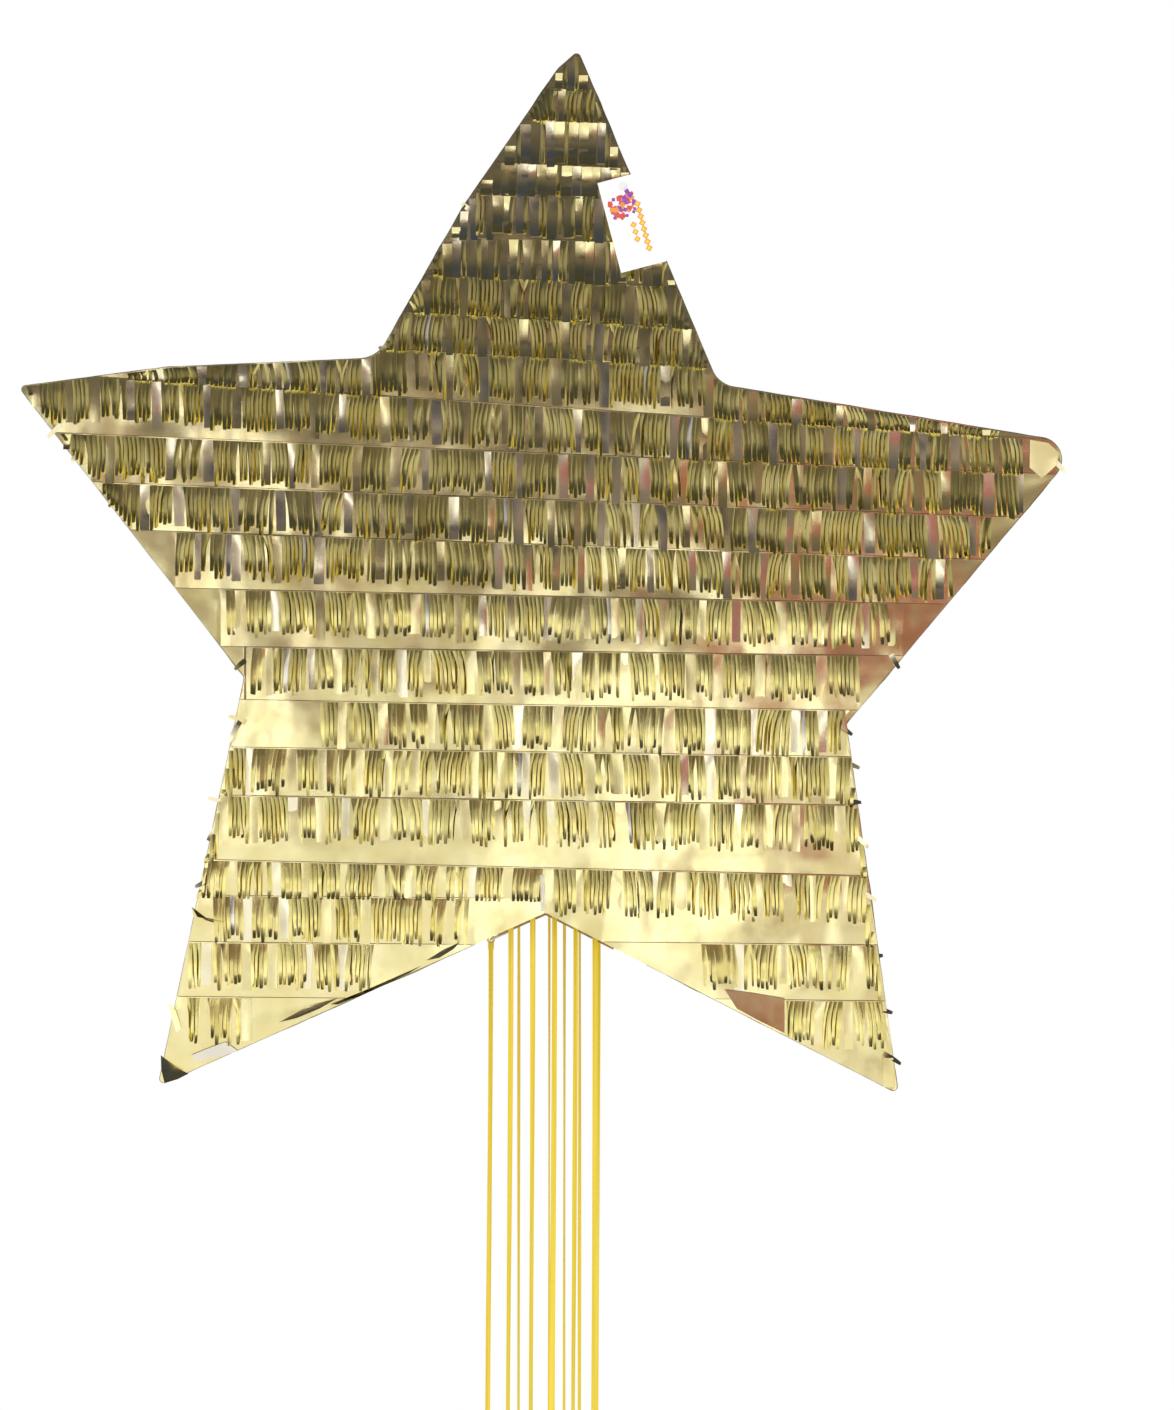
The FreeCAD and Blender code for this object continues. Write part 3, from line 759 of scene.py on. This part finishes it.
def resampled(line, gap):
    """Points along a closed line, no further apart than gap, each with its outward direction."""
    turning = sum(a.x * b.y - b.x * a.y for a, b in zip(line, line[1:] + line[:1]))
    out_sign = 1 if turning > 0 else -1
    places = []
    for a, b in zip(line, line[1:] + line[:1]):
        along = b - a
        if along.length < TINY:
            continue
        outward = Vector((along.y, -along.x)).normalized() * out_sign
        count = max(1, math.ceil(along.length / gap))
        places += [(a + along * k / count, outward) for k in range(count)]
    return places


SIDE_CLEAR = 14 * MM  # from the trap door
SIDE_GAP = 3.5 * MM  # mesh spacing round the outline
SIDE_ROWS = 21  # and the mesh's rows from front to back
SIDE_PROUD = 0.65 * MM
SIDE_WAVES = (30, 22)  # waves in a metre, round the outline and from front to back
SIDE_EDGE = 0.3  # the share of a swell that's left at the front and back edges


def side_foil():
    """Crinkled foil round the side walls, clear of the trap door and the ribbon holes."""
    door_low, door_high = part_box("trap_door")
    places = resampled(loops(rim("front_panel", -1))[0], SIDE_GAP)
    round_it, over_it = SIDE_WAVES
    sheet = Sheet()
    for place, outward in places:
        for row in range(SIDE_ROWS):
            y = FRONT + (BACK - FRONT) * row / (SIDE_ROWS - 1)
            spot = Vector((place.x * round_it, y * over_it, place.y * round_it))
            swell = 0.9 * MM * abs(noise.noise(spot)) + 0.5 * MM * abs(noise.noise(spot * 2.7))
            edge = SIDE_EDGE if row in (0, SIDE_ROWS - 1) else 1.0
            skin = place + outward * (SIDE_PROUD + swell * edge)
            sheet.points.append((skin.x, y, skin.y))
    for k in range(len(places)):
        after = (k + 1) % len(places)
        x, z = places[k][0]
        beside = door_low.x - SIDE_CLEAR < x < door_high.x + SIDE_CLEAR
        if beside and z < door_high.z + SIDE_CLEAR:
            continue
        for row in range(SIDE_ROWS - 1):
            a = k * SIDE_ROWS + row
            b = after * SIDE_ROWS + row
            sheet.face([a, b, b + 1, a + 1])
    piece = sheet.make("side_foil", [GOLD])
    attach(piece, "star")


front_fringe()
side_foil()
back_fringe()
door_fringe()
loose_folds()
stray_bits()


# =============================================================================================
# Pull ribbons
# =============================================================================================
RIBBON_SIDE = 38.0  # out from the middle plane
# x at the top, at the middle and at the end, the height of the end, and the side (front -1,
# back +1; the first hangs from the trap door, in the middle), in millimetres
RIBBONS = [
    (-43.8, -45.4, -46.6, -868.0, 0),
    (-33.2, -34.7, -35.7, -872.0, -1),
    (-30.3, -30.5, -30.8, -861.0, 1),
    (-22.4, -23.4, -24.2, -870.0, -1),
    (-14.8, -15.0, -15.4, -858.0, 1),
    (-11.6, -13.0, -13.8, -874.0, -1),
    (-7.1, -7.3, -7.6, -863.0, 1),
    (-1.2, -2.5, -3.3, -869.0, -1),
    (0.7, 0.5, 0.3, -860.0, 1),
    (8.4, 7.6, 7.0, -873.0, -1),
    (10.3, 8.9, 8.2, -865.0, 1),
]
# how far each ribbon is turned at its top, and how much further at its end, in degrees
TURNS = [(38, 10), (35, 24), (66, -8), (30, 40), (68, 10), (42, -55), (62, 12), (40, 20),
         (64, -12), (36, 14), (44, -20)]


def ribbon_route(index, z_top):
    """The same points as the model's, in metres: straight out, then a slight drift."""
    x_top, x_middle, x_end, z_end, side = RIBBONS[index]
    drift = x_middle - x_top
    last = x_end - x_middle
    across_down = [
        (x_top, z_top / MM),
        (x_top, -450.0),
        (x_top + 0.2 * drift, -500.0),
        (x_top + 0.5 * drift, -560.0),
        (x_top + 0.8 * drift, -610.0),
        (x_middle, -650.0),
        (x_middle + 0.3 * last, -710.0),
        (x_middle + 0.6 * last, -770.0),
        (x_middle + 0.8 * last, -820.0),
        (x_end, z_end),
    ]
    y = MIDDLE + side * RIBBON_SIDE * MM
    return [Vector((x * MM, y, z * MM)) for x, z in across_down]


def smooth_path(route):
    """Points read from the NURBS spline that has the route as its control points."""
    curve = bpy.data.curves.new("route", "CURVE")
    curve.dimensions = "3D"
    spline = curve.splines.new("NURBS")
    spline.points.add(len(route) - 1)
    for point, place in zip(spline.points, route):
        point.co = (*place, 1.0)
    spline.order_u = 3
    spline.use_endpoint_u = True
    spline.resolution_u = 10
    holder = bpy.data.objects.new("route", curve)
    mesh = bpy.data.meshes.new_from_object(holder)
    path = [v.co.copy() for v in mesh.vertices]
    bpy.data.objects.remove(holder)
    bpy.data.curves.remove(curve)
    bpy.data.meshes.remove(mesh)
    return path


def flat_ribbon(name, path, turn_top, turn_more):
    """A thin flat strip along a path, turning slowly about it."""
    sheet = Sheet()
    length = path[0].z - path[-1].z
    for place in path:
        t = (path[0].z - place.z) / length
        waver = RIBBON_WAVER * math.sin(RIBBON_WAVES * t + turn_top)
        angle = math.radians(turn_top + turn_more * t + waver)
        across = Vector((math.cos(angle), math.sin(angle), 0)) * RIBBON_WIDTH / 2
        out = Vector((-math.sin(angle), math.cos(angle), 0)) * RIBBON_THICK / 2
        for corner in (across + out, -across + out, -across - out, across - out):
            sheet.points.append(tuple(place + corner))
    for k in range(len(path) - 1):
        for side in range(4):
            a = 4 * k + side
            b = 4 * k + (side + 1) % 4
            sheet.face([a, b, b + 4, a + 4])
    sheet.face([0, 3, 2, 1])
    last = 4 * (len(path) - 1)
    sheet.face([last, last + 1, last + 2, last + 3])
    piece = sheet.make(name, [RIBBON])
    piece.data.polygons.foreach_set("use_smooth", [False] * len(sheet.faces))
    return piece


def make_ribbons():
    """A flat ribbon for each of the model's round ones."""
    for index, node in enumerate(RIBBON_NAMES):
        z_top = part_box(node)[1].z
        route = ribbon_route(index, z_top)
        path = smooth_path(route)
        piece = flat_ribbon(f"pull_ribbon_{index + 1:02d}", path, *TURNS[index])
        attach(piece, "release_ribbon" if index == 0 else f"pull_{node}")
        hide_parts(node)


make_ribbons()


# =============================================================================================
# Print on the hang tag
# =============================================================================================
TAG_TILT = math.radians(14.8)
INK_PROUD = 0.02 * MM
INK_STEP = 0.001 * MM  # each shape of ink lies this much over the one before
PURPLE, RED, ORANGE, YELLOW = range(4)  # their places in INKS
CONFETTI = 56
# rows of diamonds on the tag: across, height of the first, spacing, size, all in mm, and number
DIAMOND_ROWS = [(4.8, 8.0, 3.2, 1.8, 8), (0.4, -1.5, 3.6, 1.7, 3)]


def tag_print():
    """Confetti and two rows of diamonds: a thin layer of ink on the tag's front."""
    low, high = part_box("hang_tag")
    centre = (low + high) / 2
    rng = random.Random(7)
    sheet = Sheet()

    def place(u, v):
        x = centre.x + (u * math.cos(TAG_TILT) - v * math.sin(TAG_TILT)) * MM
        z = centre.z + (u * math.sin(TAG_TILT) + v * math.cos(TAG_TILT)) * MM
        return x, low.y - INK_PROUD - INK_STEP * len(sheet.faces), z

    def polygon(points, ink):
        start = len(sheet.points)
        sheet.points.extend(place(u, v) for u, v in points)
        sheet.face(list(range(start, start + len(points))), ink)

    def diamond(u, v, size):
        for share, ink in ((1.0, ORANGE), (0.62, YELLOW)):
            reach = size * share
            polygon([(u - reach, v), (u, v + reach), (u + reach, v), (u, v - reach)], ink)

    for _ in range(CONFETTI):
        u = rng.uniform(-8.5, 3.5)
        v = rng.uniform(3.5, 15.0) + 0.25 * u
        size = rng.uniform(0.8, 1.9)
        spin = rng.uniform(0, math.pi)
        corners = [(u + size * math.cos(spin + a), v + size * math.sin(spin + a))
                   for a in (0, math.pi / 2, math.pi, 3 * math.pi / 2)]
        warmer = (PURPLE, RED, RED, RED, ORANGE)
        cooler = (PURPLE, PURPLE, RED, ORANGE)
        polygon(corners, rng.choice(warmer if u < -2.5 else cooler))
    for across, first, spacing, size, count in DIAMOND_ROWS:
        for k in range(count):
            diamond(across, first - spacing * k, size)
    piece = sheet.make("tag_print", INKS)
    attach(piece, "tag")


tag_print()


# =============================================================================================
# Stage: backdrop, floor, light cards and camera
# =============================================================================================
VIEW_CENTRE = Vector((4.4 * MM, FRONT, -304.8 * MM))
VIEW_HEIGHT = 693.7 * MM
CAMERA_AWAY = 2.5
FLOOR_RADIUS = 1.5
FLOOR_SIDES = 96
FLOOR_DROP = 0.1  # under the ribbons' ends, clear of a ribbon that has been pulled out


def stage_plane(name, corners, material):
    """A flat piece of the stage, which isn't part of the object."""
    mesh = bpy.data.meshes.new(name)
    mesh.from_pydata(corners, [], [tuple(range(len(corners)))])
    mesh.materials.append(material)
    plane = bpy.data.objects.new(name, mesh)
    bpy.context.scene.collection.objects.link(plane)
    return plane


def upright(x0, x1, y0, y1, z0, z1):
    """The corners of a card that stands on the line from x0, y0 to x1, y1."""
    return [(x0, y0, z0), (x1, y1, z0), (x1, y1, z1), (x0, y0, z1)]


def floor():
    """A pale round floor, small enough to be looked past from below."""
    z = cad_low.z - FLOOR_DROP
    pale = plain_material("floor_pale", (0.93, 0.93, 0.93), (0.95, 0.95, 0.95), 0.9, 20)
    angles = [math.tau * k / FLOOR_SIDES for k in range(FLOOR_SIDES)]
    corners = [(FLOOR_RADIUS * math.cos(a), FLOOR_RADIUS * math.sin(a), z) for a in angles]
    stage_plane("floor", corners, pale)


def mirrored_only(plane):
    """The foil mirrors this card, and nothing else sees it."""
    plane.visible_camera = False
    plane.visible_diffuse = False
    plane.visible_shadow = False


# the room that the foil mirrors, by height from the floor (0) to the ceiling (1)
FRONT_WALL = [(0.0, (1.02, 0.97, 0.80)), (0.08, (0.88, 0.83, 0.66)), (0.15, (0.60, 0.53, 0.39)),
              (0.22, (0.34, 0.27, 0.19)), (0.30, (0.22, 0.18, 0.13)), (0.50, (0.13, 0.105, 0.08)),
              (0.70, (0.06, 0.06, 0.06)), (1.0, (0.035, 0.045, 0.06))]
SIDE_WALL = [(0.0, (1.50, 1.45, 1.22)), (0.16, (1.15, 1.10, 0.90)), (0.27, (0.66, 0.62, 0.49)),
             (0.35, (0.52, 0.48, 0.39)), (0.46, (0.34, 0.31, 0.25)), (0.60, (0.22, 0.20, 0.155)),
             (1.0, (0.07, 0.065, 0.055))]
GROUND = (0.98, 0.92, 0.74)
WINDOW = (2.6, 2.6, 2.4)
SLATE = [(0.0, (0.02, 0.03, 0.05)), (1.0, (0.015, 0.02, 0.035))]
BRICK = [(0.0, (0.40, 0.12, 0.10)), (1.0, (0.32, 0.10, 0.08))]
UMBER = [(0.0, (0.30, 0.20, 0.14)), (1.0, (0.26, 0.18, 0.12))]
# the room's size, and how far it is behind the camera and under the object
ROOM_HALF = 1.15
ROOM_TOP = 1.3
ROOM_BEHIND = 0.3
ROOM_DROP = 0.02
PATCH_TOP = 1.0  # where the patches' glows reach their last colour
PATCH_GAP = 0.01  # from one patch to the next, and from the wall to the first


def mirrored_room():
    """Cards round the camera that flat foil mirrors: cream below, dark above, brick red aside."""
    low = cad_low.z - ROOM_DROP
    front = FRONT - CAMERA_AWAY - ROOM_BEHIND
    side = ROOM_HALF
    wall = banded_glow("room_front", FRONT_WALL, low, ROOM_TOP)
    aside = banded_glow("room_side", SIDE_WALL, low, ROOM_TOP)
    ground = even_glow("room_ground", GROUND)
    slate = banded_glow("room_slate", SLATE, low, PATCH_TOP)
    brick = banded_glow("room_brick", BRICK, low, PATCH_TOP)
    umber = banded_glow("room_umber", UMBER, low, PATCH_TOP)
    window = even_glow("room_window", WINDOW)
    on_the_ground = [(-side, front, low), (side, front, low), (side, BACK, low), (-side, BACK, low)]
    cards = [
        stage_plane("room_front", upright(-side, side, front, front, low, ROOM_TOP), wall),
        stage_plane("room_left", upright(-side, -side, front, BACK, low, ROOM_TOP), aside),
        stage_plane("room_right", upright(side, side, front, BACK, low, ROOM_TOP), aside),
        stage_plane("room_ground", on_the_ground, ground),
    ]
    # x from, x to, z from, z to, and the card's glow
    patches = [
        (0.17, 0.64, -0.58, -0.25, brick),
        (-0.50, -0.35, -0.48, -0.30, brick),
        (-0.33, -0.26, -0.34, -0.28, brick),
        (0.13, 0.33, -0.885, -0.74, umber),
        (-0.62, -0.50, -0.30, -0.20, brick),
        (-0.11, -0.06, -0.25, -0.17, brick),
        (-0.22, 0.10, -0.18, -0.07, slate),
        (-0.20, 0.08, -0.05, 0.04, slate),
        (-0.46, -0.38, -0.70, -0.20, window),
        (0.08, 0.15, -0.80, -0.42, window),
        (-0.05, -0.01, -0.82, -0.35, window),
        (0.42, 0.47, -0.80, -0.56, window),
        (-0.90, -0.84, -0.60, -0.10, window),
    ]
    for number, (x0, x1, z0, z1, glow) in enumerate(patches, 1):
        y = front + PATCH_GAP * number
        shape = upright(x0, x1, y, y, z0, z1)
        cards.append(stage_plane(f"room_patch_{number:02d}", shape, glow))
    for card in cards:
        mirrored_only(card)


def area_light(name, place, aim, size, power, colour, mirrored=True):
    """A soft box; one that isn't mirrored lights the card, the ribbons and the tag only."""
    light = bpy.data.lights.new(name, "AREA")
    light.shape = "RECTANGLE"
    light.size, light.size_y = size
    light.energy = power
    light.color = colour
    lamp = bpy.data.objects.new(name, light)
    lamp.location = place
    lamp.rotation_euler = (Vector(aim) - Vector(place)).to_track_quat("-Z", "Y").to_euler()
    lamp.visible_glossy = mirrored
    bpy.context.scene.collection.objects.link(lamp)


def soft_room():
    """Plain white, but foil and gloss mirror cream from below and darker brown towards the top."""
    world = bpy.data.worlds.new("soft_room")
    bpy.context.scene.world = world
    world.use_nodes = True
    tree = world.node_tree
    place = tree.nodes.new("ShaderNodeTexCoord")
    split = tree.nodes.new("ShaderNodeSeparateXYZ")
    height = tree.nodes.new("ShaderNodeMapRange")
    height.inputs["From Min"].default_value = -1.0
    height.inputs["From Max"].default_value = 1.0
    tree.links.new(place.outputs["Generated"], split.inputs["Vector"])
    tree.links.new(split.outputs["Z"], height.inputs["Value"])
    stops = [(0.0, (0.90, 0.86, 0.70)), (0.36, (0.72, 0.68, 0.52)), (0.48, (0.42, 0.39, 0.30)),
             (0.60, (0.20, 0.18, 0.13)), (0.75, (0.05, 0.045, 0.035)), (1.0, (0.06, 0.055, 0.05))]
    ramp = ramp_node(tree, height.outputs["Result"], stops)
    seen = tree.nodes.new("ShaderNodeLightPath")
    backdrop = tree.nodes.new("ShaderNodeMix")
    backdrop.data_type = "RGBA"
    tree.links.new(seen.outputs["Is Glossy Ray"], backdrop.inputs["Factor"])
    backdrop.inputs["A"].default_value = (1, 1, 1, 1)
    tree.links.new(ramp.outputs["Color"], backdrop.inputs["B"])
    tree.links.new(backdrop.outputs["Result"], tree.nodes["Background"].inputs["Color"])


def lights():
    """A warm soft box at the front's left, one behind the star, and the room."""
    key_place, key_size = (-1.6, -2.2, 1.2), (1.0, 0.7)
    area_light("key", key_place, VIEW_CENTRE, key_size, 20, (1, 0.98, 0.94), mirrored=False)
    area_light("behind", (0.9, 2.0, 1.4), VIEW_CENTRE, (1.4, 1.4), 8, (1, 1, 1))
    soft_room()


def camera():
    """The photograph's view: straight on, with VIEW_HEIGHT across the picture's height."""
    lens = bpy.data.cameras.new("camera")
    lens.sensor_width = 36.0
    lens.lens = lens.sensor_width * CAMERA_AWAY / VIEW_HEIGHT
    lens.clip_start, lens.clip_end = 0.05, 50
    eye = bpy.data.objects.new("camera", lens)
    eye.location = VIEW_CENTRE - Vector((0, CAMERA_AWAY, 0))
    eye.rotation_euler = (math.pi / 2, 0, 0)
    bpy.context.scene.collection.objects.link(eye)
    bpy.context.scene.camera = eye


floor()
mirrored_room()
lights()
camera()
bpy.context.scene.view_settings.view_transform = "Standard"
